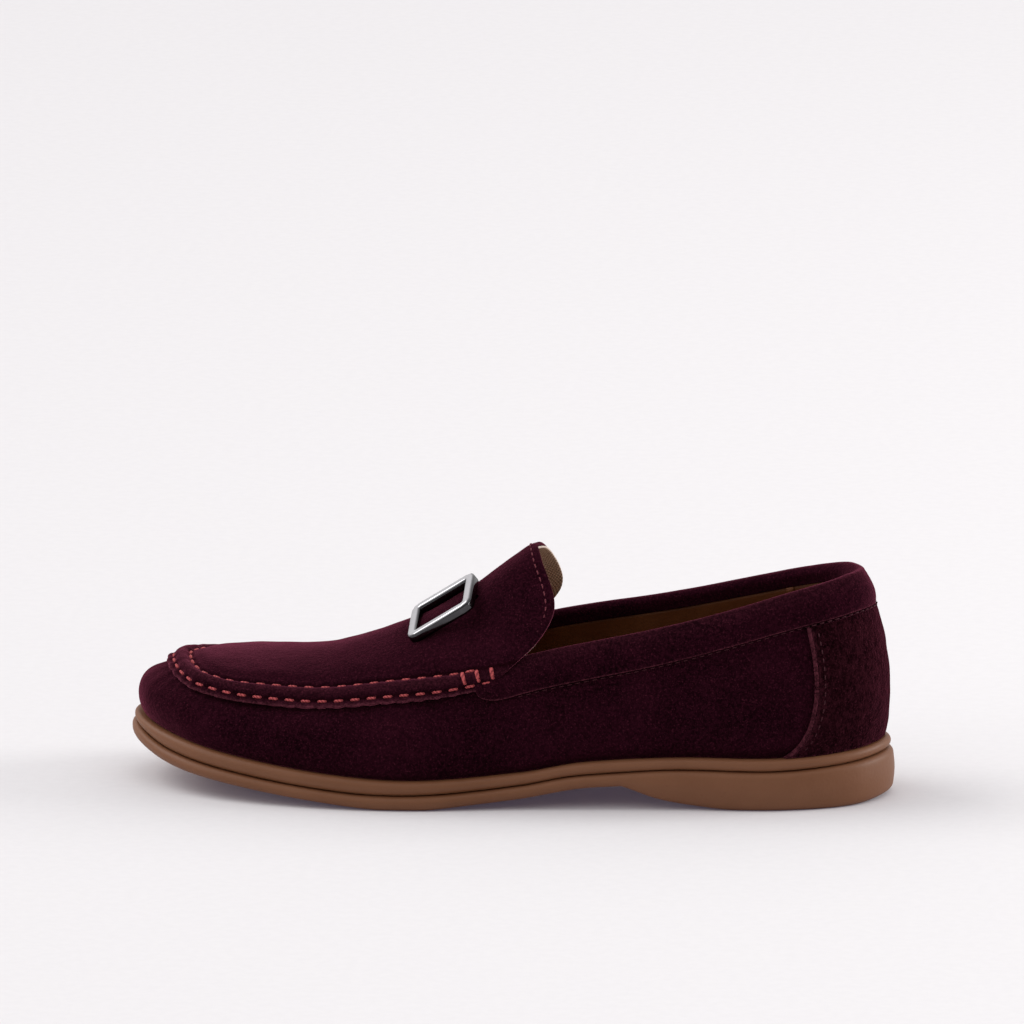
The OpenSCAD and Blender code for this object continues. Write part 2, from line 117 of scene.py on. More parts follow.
class Graph:
    def __init__(self, tree):
        self.tree = tree

    def add(self, kind, settings=None, inputs=None, out=0):
        node = self.tree.nodes.new(kind)
        for key, value in (settings or {}).items():
            setattr(node, key, value)
        for key, value in (inputs or {}).items():
            socket = node.inputs[key]
            if isinstance(value, Wire):
                self.tree.links.new(value.socket, socket)
            else:
                socket.default_value = value
        return Wire(self, node.outputs[out])

    def parts(self, vector):
        """The x, y and z of a vector, as three wires."""
        first = self.add("ShaderNodeSeparateXYZ", inputs={"Vector": vector})
        return [Wire(self, output) for output in first.socket.node.outputs]


class Finish(Graph):
    def __init__(self, name):
        self.material = bpy.data.materials.new(name)
        self.material.use_nodes = True
        super().__init__(self.material.node_tree)
        self.tree.nodes.clear()
        self.output = self.tree.nodes.new("ShaderNodeOutputMaterial")

    def spot(self):
        return self.add("ShaderNodeTexCoord", out=3)

    def uv(self):
        return self.add("ShaderNodeTexCoord", out=2)

    def mark(self, name):
        """How strongly the vertices carry a mark, from 0 to 1."""
        return self.add("ShaderNodeAttribute", {"attribute_name": name}, out=2)

    def cloud(self, where, scale, detail=3.0, roughness=0.55, stretch=(1, 1, 1)):
        turned = self.add("ShaderNodeMapping", inputs={"Vector": where, "Scale": stretch})
        return self.add("ShaderNodeTexNoise", inputs={"Vector": turned, "Scale": scale,
                                                      "Detail": detail, "Roughness": roughness})

    def blend(self, factor, first, second):
        return self.add("ShaderNodeMix", {"data_type": "RGBA"}, {0: factor, 6: first, 7: second}, out=2)

    def bump(self, height, distance, strength=1.0, normal=None):
        inputs = {"Height": height, "Distance": distance, "Strength": strength}
        if normal is not None:
            inputs["Normal"] = normal
        return self.add("ShaderNodeBump", inputs=inputs)

    def surface(self, **inputs):
        names = {key.replace("_", " "): value for key, value in inputs.items()}
        shader = self.add("ShaderNodeBsdfPrincipled", inputs=names)
        self.tree.links.new(shader.socket, self.output.inputs["Surface"])
        return self.material


# %% [markdown]
# Suede is leather with its fibres raised into a nap. Three things make it read as suede: a grain
# of short fibres, soft patches where the nap has been brushed one way or the other, and sheen,
# the pale light that fibres catch along grazing edges. The heel patch is the same leather with a
# longer and rougher nap, so one function serves both. Marks on the vertices make it paler at its
# cut edges, which are paler in fact, and as a painted highlight along some raised edges. They make
# it deeper as painted shade in the seams and at the foot of the side wall. Bright specks in its
# colour are painted glints.

# %% Suede
def rgb(red, green, blue):
    return (red, green, blue, 1.0)


def suede_finish(name, dark, light, grain=1.0, sheen=0.42, size=1.0):
    f = Finish(name)
    where = f.spot()
    patches = f.cloud(where, 34, 4, 0.6).ramp(0.36, 0.66)
    brushed = f.cloud(where, 110, 3, 0.6, (0.5, 1, 1.3)).ramp(0.35, 0.7)
    fibres = f.cloud(where, 2300 * size, 2, 0.6)
    tufts = f.cloud(where, 850 * size, 3, 0.7)
    speck = (tufts * 0.6 + fibres * 0.4).ramp(0.41, 0.6)
    tone = (patches * 0.26 + brushed * 0.12 + speck * 0.62).held()
    colour = f.blend(tone, dark, light)
    # Painted glints: bright specks in the colour stand for light that single fibres catch.
    glints = f.cloud(where, 1700, 1, 0.5).ramp(0.62, 0.74)
    colour = f.blend(glints * 0.36, colour, rgb(0.100, 0.020, 0.033))
    # The pale mark: paler cut edges, and painted highlights along some raised edges.
    colour = f.blend(f.mark("pale") * (0.3 + 0.7 * speck), colour, rgb(0.105, 0.026, 0.038))
    # The deep mark: painted shade in the seams and at the foot of the side wall.
    colour = f.blend(f.mark("deep") * 0.75, colour, rgb(0.006, 0.0008, 0.0016))
    height = fibres * 0.4 + tufts * 0.6
    relief = f.bump(height, 0.00045 * grain, 0.8)
    relief = f.bump(f.cloud(where, 420, 3, 0.6), 0.0005 * grain, 0.3, relief)
    return f.surface(Base_Color=colour, Roughness=0.9 - speck * 0.08, Normal=relief,
                     Sheen_Weight=sheen, Sheen_Roughness=0.36, Sheen_Tint=rgb(0.80, 0.18, 0.30),
                     Specular_IOR_Level=0.0)


suede = suede_finish("suede", rgb(0.0048, 0.0009, 0.0022), rgb(0.0280, 0.0042, 0.0098))
rough_suede = suede_finish("rough_suede", rgb(0.0016, 0.0003, 0.0007), rgb(0.0250, 0.0048, 0.0078),
                           grain=3.4, sheen=0.24, size=0.55)
cut_suede = suede_finish("cut_suede", rgb(0.020, 0.0035, 0.0075), rgb(0.075, 0.018, 0.028),
                         grain=1.3, sheen=0.4)
print("suede finishes:", suede.name, rough_suede.name, cut_suede.name)

# %% [markdown]
# The sole is moulded gum rubber: matt, warm tan, with a slightly cloudy body and a faint bloom.
# Its colour varies very softly, and a fine bump keeps highlights from looking like glass.

# %% Gum rubber
def rubber_finish():
    f = Finish("gum_rubber")
    where = f.spot()
    cloudy = f.cloud(where, 26, 4, 0.6).ramp(0.3, 0.7)
    specks = f.cloud(where, 900, 2, 0.5)
    colour = f.blend(cloudy, rgb(0.170, 0.067, 0.029), rgb(0.196, 0.081, 0.038))
    colour = f.blend(specks.ramp(0.62, 0.75) * 0.2, colour, rgb(0.120, 0.047, 0.021))
    relief = f.bump(specks, 0.0003, 0.25)
    relief = f.bump(cloudy, 0.001, 0.06, relief)
    return f.surface(Base_Color=colour, Roughness=0.46 + cloudy * 0.1, Normal=relief,
                     Specular_IOR_Level=0.28)


gum_rubber = rubber_finish()

# %% [markdown]
# The lining is smooth tanned leather with fine pores. The sock under the foot is the same hide.
# Pores are the cells of a Voronoi pattern: their edges are low, and their insides are raised.

# %% Lining leather
def leather_finish(name, dark, light, gloss):
    f = Finish(name)
    where = f.spot()
    patches = f.cloud(where, 45, 4, 0.6).ramp(0.3, 0.72)
    pores = f.add("ShaderNodeTexVoronoi", {"feature": "DISTANCE_TO_EDGE"},
                  {"Vector": where, "Scale": 950.0}).ramp(0.0, 0.14)
    colour = f.blend(patches, dark, light)
    colour = f.blend((1 - pores) * 0.4, colour, dark)
    relief = f.bump(pores, 0.0002, 0.35)
    relief = f.bump(patches, 0.0012, 0.12, relief)
    return f.surface(Base_Color=colour, Roughness=gloss + patches * 0.12, Normal=relief,
                     Specular_IOR_Level=0.16)


lining_leather = leather_finish("lining_leather", rgb(0.090, 0.026, 0.007), rgb(0.130, 0.043, 0.013),
                                0.42)
sock_leather = leather_finish("sock_leather", rgb(0.200, 0.090, 0.038), rgb(0.265, 0.125, 0.056), 0.5)

# %% [markdown]
# The tongue is backed with woven cloth. A plain weave is two sets of ribs that take turns to lie
# on top, and both follow the piece's own UV map, so that the threads run along and across it.

# %% Woven cloth
def weave_finish(name, dark, light, threads):
    f = Finish(name)
    laid = f.add("ShaderNodeMapping", inputs={"Vector": f.uv(), "Scale": (threads[0], threads[1], 1)})
    along, across, _ = f.parts(laid)
    warp = (along * math.tau).sine() * 0.5 + 0.5
    weft = (across * math.tau).sine() * 0.5 + 0.5
    raised = (warp * weft + (1 - warp) * (1 - weft)).held()
    fuzz = f.cloud(f.spot(), 1100, 3, 0.7)
    tone = (raised * 0.65 + fuzz * 0.5).ramp(0.25, 0.85)
    colour = f.blend(tone, dark, light)
    relief = f.bump(raised * 0.7 + fuzz * 0.3, 0.0004, 0.8)
    return f.surface(Base_Color=colour, Roughness=0.9, Normal=relief, Specular_IOR_Level=0.1)


tongue_cloth = weave_finish("tongue_cloth", rgb(0.340, 0.195, 0.120), rgb(0.780, 0.530, 0.370), (46, 60))
vamp_cloth = weave_finish("vamp_cloth", rgb(0.20, 0.14, 0.09), rgb(0.46, 0.36, 0.26), (220, 160))
print("woven finishes:", tongue_cloth.name, vamp_cloth.name)

# %% [markdown]
# The parts inside the shoe are plain stuffs: board, cork, foam, steel, stiffened cloth and cotton.
# Each is two shades of one colour, blended by a noise as coarse as its grain, with a fine bump.

# %% Plain stuffs
def plain_finish(name, dark, light, scale, roughness, metallic=0.0, relief_depth=0.0004):
    f = Finish(name)
    grain = f.cloud(f.spot(), scale, 4, 0.65)
    colour = f.blend(grain.ramp(0.3, 0.7), dark, light)
    relief = f.bump(grain, relief_depth, 0.5)
    return f.surface(Base_Color=colour, Roughness=roughness + grain * 0.1, Metallic=metallic,
                     Normal=relief)


cream_edge = plain_finish("cream_edge", rgb(0.55, 0.43, 0.36), rgb(0.80, 0.68, 0.60), 1400, 0.85)
fibre_board = plain_finish("fibre_board", rgb(0.20, 0.12, 0.07), rgb(0.33, 0.21, 0.13), 700, 0.85)
cork = plain_finish("cork", rgb(0.22, 0.12, 0.06), rgb(0.45, 0.29, 0.16), 420, 0.9, relief_depth=0.001)
foam = plain_finish("foam", rgb(0.45, 0.40, 0.28), rgb(0.62, 0.57, 0.42), 1600, 0.95, relief_depth=0.0008)
spring_steel = plain_finish("spring_steel", rgb(0.40, 0.40, 0.42), rgb(0.56, 0.56, 0.58), 260, 0.3, 1.0)
stiffener = plain_finish("stiffener", rgb(0.58, 0.55, 0.47), rgb(0.68, 0.65, 0.56), 500, 0.6)
cotton = plain_finish("cotton_cord", rgb(0.50, 0.45, 0.36), rgb(0.70, 0.65, 0.55), 1300, 0.9)

# %% [markdown]
# Thread is twisted from strands. On each stitch the UV map runs once round the thread and once
# along it, so a slanted sine wave over both draws the strands as they wind round each other.

# %% Thread
def thread_finish(name, dark, light, turns):
    f = Finish(name)
    around, along, _ = f.parts(f.uv())
    strand = ((around + along * turns) * math.tau * 2).sine() * 0.5 + 0.5
    fuzz = f.cloud(f.spot(), 1800, 2, 0.6)
    tone = (strand * 0.4 + fuzz * 0.65).ramp(0.15, 0.85)
    colour = f.blend(tone, dark, light)
    relief = f.bump(strand * 0.6 + fuzz * 0.4, 0.0002, 0.7)
    return f.surface(Base_Color=colour, Roughness=0.6, Normal=relief, Specular_IOR_Level=0.12)


thick_thread = thread_finish("thick_thread", rgb(0.170, 0.022, 0.030), rgb(0.540, 0.105, 0.105), 1.6)
fine_thread = thread_finish("fine_thread", rgb(0.070, 0.012, 0.020), rgb(0.200, 0.046, 0.060), 1.2)
matched_thread = thread_finish("matched_thread", rgb(0.026, 0.005, 0.009), rgb(0.066, 0.014, 0.021), 1.2)

# %% [markdown]
# Metal shines because it mirrors what stands around it. This frame is dark metal, and its dark
# colour also stands in for the dark surroundings that it would mirror. The bright colour on its top
# faces is a painted reflection of the light above, so a mark on the vertices says where it is
# painted. Small scratches and an uneven polishing stop it from being a perfect mirror, so its
# roughness varies with a noise.

# %% Polished metal
def metal_finish():
    f = Finish("polished_metal")
    where = f.spot()
    haze = f.cloud(where, 130, 4, 0.6)
    lines = f.cloud(where, 700, 2, 0.6, (0.12, 1, 1))
    colour = f.blend(haze.ramp(0.3, 0.7), rgb(0.050, 0.049, 0.052), rgb(0.075, 0.074, 0.078))
    # Painted reflection: the marked top faces are painted bright.
    colour = f.blend(f.mark("painted_lit_top") * (0.75 + 0.25 * haze), colour, rgb(0.620, 0.610, 0.630))
    relief = f.bump(lines, 0.00004, 0.4)
    return f.surface(Base_Color=colour, Metallic=1.0, Roughness=0.09 + haze * 0.12, Normal=relief)


polished_metal = metal_finish()

# %% [markdown]
# Everything follows one last, the form a shoe is made on. The sole's outline from above is a
# closed smooth curve through eighteen stations: 0 is the toe, 9 the heel, and the outer side
# lies between them. Heights along the sole are curves of their own. All lengths below are in
# millimetres, and only the finished vertices are turned into metres.

# %% Curves
HALF_LENGTH, HALF_WIDTH = 146.0, 53.0
STATIONS = 18
outline_points = np.array([
    (-1, 0.17), (-0.959, -0.27), (-0.808, -0.67), (-0.548, -0.925), (-0.26, -1), (0.068, -0.87),
    (0.411, -0.785), (0.719, -0.755), (0.918, -0.52), (1, -0.075), (0.918, 0.37), (0.719, 0.61),
    (0.411, 0.56), (0.08, 0.58), (-0.25, 0.84), (-0.5, 1), (-0.76, 0.88), (-0.937, 0.57),
]) * (HALF_LENGTH, HALF_WIDTH)
tread_front = [(-1, 16), (-0.88, 10.2), (-0.71, 6.2), (-0.46, 1.9), (-0.32, 0), (-0.2, 0), (-0.09, 1.6),
               (0.05, 4), (0.2, 7.8), (0.31, 8.8)]
BREAST_START, BREAST_END = 0.31, 0.39
tread_heel = [(BREAST_END, 4.4), (0.43, 3), (0.49, 1.6), (0.6, 0), (0.9, 0), (1, 1.5)]
groove_line = [(-1, 22), (-0.89, 15.8), (-0.67, 10.2), (-0.4, 6), (-0.26, 5.4), (-0.13, 6.2), (0.05, 9),
               (0.17, 12.2), (0.3, 13.8), (0.45, 15), (0.7, 14.8), (0.87, 16.2), (1, 18)]
welt_line = [(-1, 25.5), (-0.9, 22.2), (-0.74, 17.7), (-0.48, 12.9), (-0.23, 10.9), (0.05, 13.7),
             (0.2, 17.4), (0.45, 19.4), (0.7, 19.5), (0.9, 21), (1, 22.5)]


def loop_at(values, u):
    values = np.asarray(values, float)
    spot = np.mod(u, len(values))
    k = np.floor(spot).astype(int)
    t = spot - k
    if values.ndim > 1:
        t = t[..., None]
    a, b, c, d = (values[(k + step) % len(values)] for step in (-1, 0, 1, 2))
    return b + ((c - a) * t + (2 * a - 5 * b + 4 * c - d) * t ** 2 + (3 * b - a - 3 * c + d) * t ** 3) / 2


def curve_at(points, x):
    xs, ys = np.array(points, float).T
    last = len(xs) - 1
    before = np.maximum(np.arange(last + 1) - 1, 0)
    after = np.minimum(np.arange(last + 1) + 1, last)
    slopes = (ys[after] - ys[before]) / (xs[after] - xs[before])
    held = np.clip(x, xs[0], xs[-1])
    k = np.clip(np.searchsorted(xs, held, side="right") - 1, 0, last - 1)
    w = xs[k + 1] - xs[k]
    t = (held - xs[k]) / w
    return (ys[k] * (1 + 2 * t) * (1 - t) ** 2 + slopes[k] * w * t * (1 - t) ** 2
            + ys[k + 1] * t ** 2 * (3 - 2 * t) - slopes[k + 1] * w * t ** 2 * (1 - t))


def unit(vectors):
    return vectors / np.maximum(np.linalg.norm(vectors, axis=-1, keepdims=True), 1e-9)


def outline(u, inset):
    run = unit(loop_at(outline_points, u + 0.02) - loop_at(outline_points, u - 0.02))
    outwards = np.stack([run[..., 1], -run[..., 0]], -1)
    return loop_at(outline_points, u) - np.asarray(inset, float)[..., None] * outwards


def groove_z(x):
    return curve_at(groove_line, x / HALF_LENGTH)


def welt_z(x):
    return curve_at(welt_line, x / HALF_LENGTH)


def tread_z(x):
    share = x / HALF_LENGTH
    breast = np.clip((share - BREAST_START) / (BREAST_END - BREAST_START), 0, 1)
    front = curve_at(tread_front, share)
    heel = curve_at(tread_heel, share)
    return np.maximum(front * (1 - breast) + heel * breast, 0)


def step_lengths(points):
    return np.linalg.norm(np.diff(points, axis=0), axis=1)


rim = outline(np.linspace(0, STATIONS, 400), 0.0)
print("outline length in mm:", round(float(step_lengths(rim).sum())))

# %% [markdown]
# The upper has two surfaces. The side wall rises from the sole all round the foot: each station
# says how high it reaches, how far it leans in, how much it swells, and how sharply its shoulder
# turns. The apron is the panel on top: its edge lies on the side wall, and every point of it is
# named by the station where its rib starts and by an angle, from 90 at the edge to 0 on top.
# Stations on the inner side are negative there.

# %% Surfaces of the upper
WELT_OVERHANG, GAP, SUEDE = 5.0, 0.2, 1.4
wall_top = [45, 44, 40.5, 38, 40.5, 56, 67, 79.5, 85, 85.5, 84.5, 78, 68, 59, 43, 38.5, 40, 43.2]
wall_lean = [20, 18, 14.5, 12, 9.5, 6.5, 5, 5.3, 6.3, 7.2, 6.3, 2.3, -3, -3, 4, 12, 14, 18]
wall_swell = [2.5, 2.5, 2.5, 2.5, 2.5, 2.5, 2.5, 2.5, 2.5, 2.7, 2.5, 2.5, 4, 5, 3.5, 2.5, 2.5, 2.5]
wall_turn = [6.5, 5.5, 4.5, 4, 3, 2, 2, 2, 2.5, 2.5, 2.5, 2, 2, 2, 3, 4, 4.5, 5.5]
apron_edge = [(-134, 43.2), (-124, 39.6), (-116, 37.4), (-97, 35.4), (-69, 35.4), (-39, 38.7), (-21, 41.7),
              (2, 47)]
apron_spine = [(-108, 47.2), (-92, 48.2), (-72, 50), (-62, 52.5), (-52, 56), (-40, 61), (-26, 68.5),
               (-12, 77.5), (-4, 84), (2, 88.5), (7, 92), (12, 93.6)]
outer_reach = [(0, 12), (25, 15.5), (48, 21.3), (58, 21.3), (70, 16), (83, 5), (90, 0)]
inner_reach = [(0, 12), (25, 15), (48, 17.8), (58, 16.3), (70, 10), (83, 2.5), (90, 0)]
INSTEP_CROWN = 0.3
FAN_STATION, END_STATION, COLLAR_STATION = 2.2, 4.75, 4.62


def mix(a, b, t):
    return a + (b - a) * t


def wall(u, t):
    """Point of the side wall at station u, t being 0 at the sole and 1 at its top."""
    u, t = np.broadcast_arrays(np.asarray(u, float), np.asarray(t, float))
    base = welt_z(outline(u, WELT_OVERHANG)[..., 0]) + GAP
    held = np.clip(t, 0, 1.2)
    lean = loop_at(wall_lean, u) * held ** loop_at(wall_turn, u)
    swell = loop_at(wall_swell, u) * np.sin(np.pi * held ** 0.7)
    plan = outline(u, WELT_OVERHANG + lean - swell)
    return np.concatenate([plan, mix(base, loop_at(wall_top, u), t)[..., None]], -1)


def wall_normal(u, t):
    held = np.clip(t, 0.02, 0.98)
    return unit(np.cross(wall(u + 0.05, held) - wall(u - 0.05, held),
                         wall(u, held + 0.02) - wall(u, held - 0.02)))


def wall_at(u, t, out):
    """Point of the side wall, moved out of it by so many mm."""
    u, t, out = np.broadcast_arrays(np.asarray(u, float), np.asarray(t, float), np.asarray(out, float))
    return wall(u, t) + out[..., None] * wall_normal(u, t)


def share_at(u, z):
    base = wall(u, 0.0)[..., 2]
    return (z - base) / (loop_at(wall_top, u) - base)


def share_below(u, depth):
    return 1 - depth / (loop_at(wall_top, u) - wall(u, 0.0)[..., 2])


def lip_share(u):
    u = np.asarray(u, float)
    return share_at(u, curve_at(apron_edge, outline(u, WELT_OVERHANG + 8)[..., 0]))


def lip(u, out):
    """Point of the line on the side wall where the apron's edge lies."""
    stations, back = np.unique(u, return_inverse=True)
    return wall_at(stations, lip_share(stations), out)[back.reshape(np.shape(u))]


def crown_at(u):
    """How much the section peaks towards the ridge line: not at the toe, and fully at the instep."""
    s = np.clip((np.abs(u) - FAN_STATION) / 1.2, 0, 1)
    return INSTEP_CROWN * s * s * (3 - 2 * s)


def apron_at(u, phi, out):
    """Point of the apron at station u and angle phi, moved up and out by so many mm."""
    u, phi = np.broadcast_arrays(np.asarray(u, float), np.asarray(phi, float))
    w = np.maximum(np.abs(u), FAN_STATION)
    edge = lip(u, out)
    middle = (lip(w, 0.0) + lip(-w, 0.0)) / 2
    tail = ((w - FAN_STATION) / (END_STATION - FAN_STATION)) ** 5
    spine = curve_at(apron_spine, middle[..., 0] + tail * outer_reach[0][1]) + out
    angle = np.radians(phi)
    across = np.sin(angle) * (1 - crown_at(u) * np.cos(angle))
    reach = np.where(u < 0, curve_at(inner_reach, phi), curve_at(outer_reach, phi))
    x = mix(middle[..., 0], edge[..., 0], across) + tail * reach
    y = mix(middle[..., 1], edge[..., 1], across)
    return np.stack([x, y, mix(edge[..., 2], spine, np.cos(angle))], -1)


def angle_in(u, distance):
    """Angle of the point of a rib that lies so many mm in from the apron's edge."""
    edge, top = apron_at(u, 90.0, 0.0), apron_at(u, 0.0, 0.0)
    reach = ((top - edge)[..., :2] ** 2).sum(-1)
    rise = (top - edge)[..., 2] ** 2 + crown_at(u) ** 2 * reach
    return 90 - np.degrees(np.sqrt(2 * (np.sqrt(rise ** 2 + reach * distance ** 2) - rise) / reach))


def apron_normal(u, phi):
    phi = np.clip(phi, 1.5, 88.5)
    return unit(np.cross(apron_at(u + 0.02, phi, 0.0) - apron_at(u - 0.02, phi, 0.0),
                         apron_at(u, phi - 1, 0.0) - apron_at(u, phi + 1, 0.0)))


print("toe of the apron:", np.round(lip(np.array([0.0]), 0.0), 1).tolist())

# %% [markdown]
# Most parts of a shoe are sheets cut from leather and pulled over a form. In Blender such a
# sheet starts as a flat grid, which also gives it an even UV map, and each of its vertices is
# moved to its place on the form. Edges that meet are welded. A Solidify modifier then gives the
# sheet the thickness of the leather, and may give the cut edge a finish of its own.

# %% Sheets on a form
def lay_sheet(bm, us, vs, place, marks=None):
    """Adds a grid to bm, moved to place(u, v) in mm. Marks are {attribute: values(u, v)}."""
    grid_u, grid_v = np.meshgrid(us, vs, indexing="ij")
    spots = place(grid_u, grid_v) * MM
    values = {key: mark(grid_u, grid_v) for key, mark in (marks or {}).items()}
    layers = {key: bm.verts.layers.float.get(key) or bm.verts.layers.float.new(key) for key in values}
    if not bm.loops.layers.uv:
        bm.loops.layers.uv.new("UVMap")
    made = bmesh.ops.create_grid(bm, x_segments=len(us) - 1, y_segments=len(vs) - 1, size=1,
                                 calc_uvs=True)["verts"]
    for vert in made:
        i = round((vert.co.x + 1) / 2 * (len(us) - 1))
        j = round((vert.co.y + 1) / 2 * (len(vs) - 1))
        vert.co = spots[i, j]
        for key, layer in layers.items():
            vert[layer] = values[key][i, j]


def weld(bm, outwards=False):
    bmesh.ops.remove_doubles(bm, verts=bm.verts, dist=0.00001)
    if outwards:
        bmesh.ops.recalc_face_normals(bm, faces=bm.faces)


def settle(bm, name, finish, nodes, thickness=0.0, rim=None):
    """Makes bm a finished piece that stands for its nodes of the frame."""
    for face in bm.faces:
        face.smooth = True
    mesh = bpy.data.meshes.new(name)
    bm.to_mesh(mesh)
    bm.free()
    mesh.materials.append(finish)
    piece = bpy.data.objects.new(name, mesh)
    bpy.context.scene.collection.objects.link(piece)
    if thickness:
        solid = piece.modifiers.new("thickness", "SOLIDIFY")
        solid.thickness = thickness * MM
        solid.offset = -1
        if rim:
            mesh.materials.append(rim)
            solid.material_offset_rim = 1
    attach(piece, "root")
    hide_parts(*nodes)
    print(name, "faces:", len(mesh.polygons))
    return piece


def hills(spots, size, seed=0.0):
    """Soft noise from -1 to 1 at each spot in mm, with bumps about size mm wide."""
    shift = Vector((seed, seed * 1.7, seed * 2.3))
    flat = [noise.noise(Vector(spot) / size + shift) for spot in spots.reshape(-1, 3)]
    return np.array(flat).reshape(spots.shape[:-1])


def raised(spots, lift):
    """The spots, lifted by so many mm."""
    return spots + np.asarray(lift)[..., None] * (0, 0, 1)


def hump(x, middle, width):
    return np.exp(-((x - middle) / width) ** 2)


# %% [markdown]
# The sole is cast in two layers of gum rubber. Seen in section, each layer is a slab with a
# rounded edge, and the shadow between two rounded edges draws the dark groove round the shoe.
# A band with that section runs round the outline. Rungs like a ladder's join its two sides,
# which closes the layer above and below, and follow the heights along the sole.

# %% Sole
THICK_LAYER = 9.0


def rounded_layer(name, inset, low, high, corner, side_swell, node):
    """A layer between the heights low(x) and high(x). Its side swells where it is thick."""
    around, rungs, arc = 480, 24, 0.36

    def band(u, s):
        reach = outline(u, inset)[..., 0]
        room = high(reach) - low(reach)
        radius = np.minimum(corner, room / 2)
        lower = np.clip(s / arc, 0, 1) * 90 - 90
        upper = np.clip((s - 1 + arc) / arc, 0, 1) * 90
        angle = np.radians(lower + upper)
        side = np.clip((s - arc) / (1 - 2 * arc), 0, 1)
        swelling = side_swell * np.sin(np.pi * side) * (room > THICK_LAYER)
        inwards = inset + radius * (1 - np.cos(angle)) - swelling
        plan = outline(u, inwards)
        bottom, top = low(plan[..., 0]), high(plan[..., 0])
        z = mix(bottom + radius, top - radius, side) + radius * np.sin(angle)
        return np.concatenate([plan, z[..., None]], -1)

    bm = bmesh.new()
    loop = np.linspace(0, STATIONS, around + 1)
    lay_sheet(bm, loop, np.linspace(0, 1, 17), band)
    for s, height in ((0.0, low), (1.0, high)):
        rim = band(loop, np.full(loop.shape, s))

        def rung(i, w):
            i = i.astype(int)
            plan = mix(rim[i], rim[around - i], w[..., None])[..., :2]
            return np.concatenate([plan, height(plan[..., 0])[..., None]], -1)

        lay_sheet(bm, np.arange(around // 2 + 1), np.linspace(0, 1, rungs + 1), rung)
    weld(bm, outwards=True)
    settle(bm, name, gum_rubber, [node])


rounded_layer("outsole_rubber", 0.0, tread_z, groove_z, 2.6, 0.5, "outsole")
rounded_layer("midsole_rubber", 1.0, lambda x: groove_z(x) + GAP, welt_z, 2.4, 0.0, "midsole")

# %% [markdown]
# A moccasin is sewn by hand. Each stitch pulls the leather down, and the leather swells up again
# between two stitches, so a row of stitches makes a row of small dimples. The rows are measured
# along the surface first, so that every stitch has the same length, and both the leather and the
# thread then ask the same row where its stitches are.

# %% Rows of stitches
THICK_THREAD, THICK_PITCH = 1.3, 6.3
OUTER_ROW, INNER_ROW = 2.8, 9.5
THREAD_OUT = GAP + SUEDE


class Row:
    """A row of stitches along path(u). Its phase is a whole number between two stitches."""

    def __init__(self, path, start, end, pitch):
        self.u = np.linspace(start, end, 600)
        self.along = np.concatenate([[0], np.cumsum(step_lengths(path(self.u)))])
        self.count = round(self.along[-1] / pitch)
        self.along *= self.count / self.along[-1]

    def phase(self, u):
        return np.interp(u, self.u, self.along)

    def station(self, phase):
        return np.interp(phase, self.along, self.u)

    def swelling(self, u):
        """1 between two stitches and 0 in the middle of a stitch."""
        return 0.5 + 0.5 * np.cos(2 * np.pi * self.phase(u))


def apron_row(distance, short):
    """A row so many mm from the apron's edge, ending so many stations short of the apron's ends."""
    end = END_STATION - short
    return Row(lambda u: apron_at(u, angle_in(u, distance), 0.0), -end, end, THICK_PITCH)


outer_row = apron_row(OUTER_ROW, 0.03)
inner_row = apron_row(INNER_ROW, 0.25)
print("stitches in the outer and inner row:", outer_row.count, inner_row.count)


def apron_relief(u, distance):
    """Height in mm of the apron's seam above its plain surface."""
    near_end = np.clip((END_STATION - 0.1 - np.abs(u)) / 0.3, 0, 1)
    outer, inner = outer_row.swelling(u), inner_row.swelling(u)
    dimple = -1.0 * hump(distance, OUTER_ROW, 1.0) * (1 - 0.75 * outer)
    edge = (0.1 + 0.45 * outer) * hump(distance, 0.4, 1.3)
    way = np.clip((distance - OUTER_ROW) / (INNER_ROW - OUTER_ROW), 0, 1)
    ridge = 1.25 * np.sin(np.pi * way) ** 0.8 * (0.9 + 0.1 * mix(outer, inner, way))
    valley = -1.35 * hump(distance, INNER_ROW, 1.25) * (1 - 0.45 * inner)
    sunk = -0.6 * hump(distance, INNER_ROW + 2.5, 3.5)
    return dimple + edge + (ridge + valley + sunk) * near_end


# %% [markdown]
# The side wall is one long strip of suede, closed at the back. Under its foot it turns in below
# the board. Its top edge hides under the apron and under the collar. Soft hills a few centimetres
# wide keep the light from sliding over it as over plastic, and it gathers a little under the row
# of stitches.

# %% Side wall
MARGIN, TUCK = 11.0, 0.1


def wall_relief(u, t):
    """Height in mm of the hills on the side wall, and of the gathers under the apron."""
    spots = wall(u, t)
    station = np.mod(u + 9, STATIONS) - 9
    drop = (lip_share(u) - t) * (loop_at(wall_top, u) - wall(u, 0.0)[..., 2])
    under = np.where(np.abs(station) < END_STATION, hump(drop, 1.0, 5.0), 0.0)
    gathers = 0.16 * under * (outer_row.swelling(station) - 0.4)
    return (0.45 * hills(spots, 24.0) + 0.16 * hills(spots, 8.0, 5.0) + gathers) * np.clip(t * 8, 0, 1)


def wall_place(u, t):
    tucked = np.clip(-t / TUCK, 0, 1)
    share = np.maximum(t, 0)
    spots = wall(u, share) + wall_normal(u, share) * wall_relief(u, share)[..., None]
    turned = outline(u, WELT_OVERHANG + (MARGIN - 1) * tucked)
    under = np.concatenate([turned, (welt_z(turned[..., 0]) + GAP)[..., None]], -1)
    return np.where((t < 0)[..., None], under, spots)


